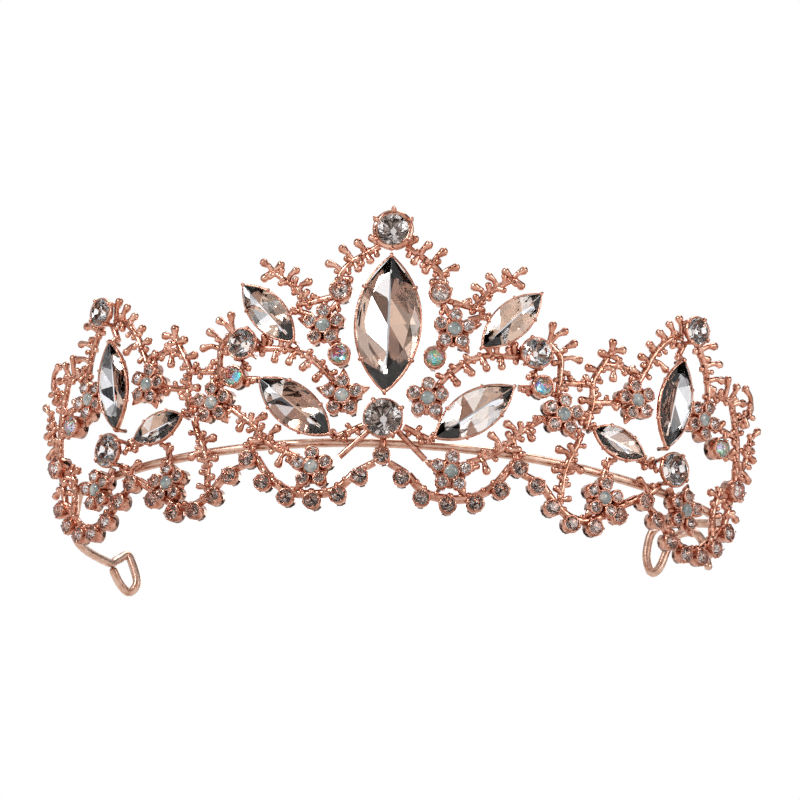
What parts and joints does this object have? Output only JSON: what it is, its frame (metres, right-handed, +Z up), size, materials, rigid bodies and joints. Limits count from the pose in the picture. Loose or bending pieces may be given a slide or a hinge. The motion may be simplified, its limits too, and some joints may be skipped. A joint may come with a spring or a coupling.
{
  "type": "bridal tiara",
  "caption": "Rose-gold bridal tiara: curved leaning band of cast scallops and budded sprays set with marquise and round crystals, on a wire with looped ends.",
  "frame": {"origin": "under the middle of the tiara's box, on the surface that it stands on", "axes": "+X to the tiara's width, -Y out of its front, +Z up"},
  "size_m": [0.149, 0.0724, 0.0604],
  "materials": {
    "rose_gold_casting": "polished rose-gold plating",
    "rose_gold_wire": "pale rose-gold plated wire",
    "foiled_crystal": "faceted, silver-foiled back",
    "aurora_crystal": "faceted, aurora-borealis coating",
    "opal_glass": "smooth domed cabochon"
  },
  "bodies": {
    "root": {"accent_settings": "rose_gold_casting", "aurora_stones": "aurora_crystal", "base_wire": "rose_gold_wire", "boundary_spray_left": "rose_gold_casting", "boundary_spray_right": "rose_gold_casting", "centre_marquise_setting": "rose_gold_casting", "centre_marquise_stone": "foiled_crystal", "centre_round_setting": "rose_gold_casting", "centre_round_stone": "foiled_crystal", "centre_stem": "rose_gold_casting", "clear_accent_stones": "foiled_crystal", "crest_spray_left": "rose_gold_casting", "crest_spray_right": "rose_gold_casting", "crown_setting": "rose_gold_casting", "crown_stone": "foiled_crystal", "first_scallop_left": "rose_gold_casting", "first_scallop_right": "rose_gold_casting", "flower_castings": "rose_gold_casting", "large_round_setting_left": "rose_gold_casting", "large_round_setting_right": "rose_gold_casting", "large_round_stones": "foiled_crystal", "lower_marquise_setting_left": "rose_gold_casting", "lower_marquise_setting_right": "rose_gold_casting", "lower_marquise_stones": "foiled_crystal", "lower_spray_left": "rose_gold_casting", "lower_spray_right": "rose_gold_casting", "middle_spray_left": "rose_gold_casting", "middle_spray_right": "rose_gold_casting", "opal_cabochons": "opal_glass", "petal_stones": "foiled_crystal", "round_spray_left": "rose_gold_casting", "round_spray_right": "rose_gold_casting", "scallop_stones": "foiled_crystal", "second_scallop_left": "rose_gold_casting", "second_scallop_right": "rose_gold_casting", "side_inner_spray_left": "rose_gold_casting", "side_inner_spray_right": "rose_gold_casting", "side_outer_spray_left": "rose_gold_casting", "side_outer_spray_right": "rose_gold_casting", "side_round_setting_left": "rose_gold_casting", "side_round_setting_right": "rose_gold_casting", "side_round_stones": "foiled_crystal", "side_top_setting_left": "rose_gold_casting", "side_top_setting_right": "rose_gold_casting", "side_top_stones": "foiled_crystal", "small_side_marquise_setting_left": "rose_gold_casting", "small_side_marquise_setting_right": "rose_gold_casting", "small_side_marquise_stones": "foiled_crystal", "tall_side_marquise_setting_left": "rose_gold_casting", "tall_side_marquise_setting_right": "rose_gold_casting", "tall_side_marquise_stones": "foiled_crystal", "third_scallop_left": "rose_gold_casting", "third_scallop_right": "rose_gold_casting", "upper_marquise_setting_left": "rose_gold_casting", "upper_marquise_setting_right": "rose_gold_casting", "upper_marquise_stones": "foiled_crystal", "upper_spray_left": "rose_gold_casting", "upper_spray_right": "rose_gold_casting"}
  },
  "joints": []
}
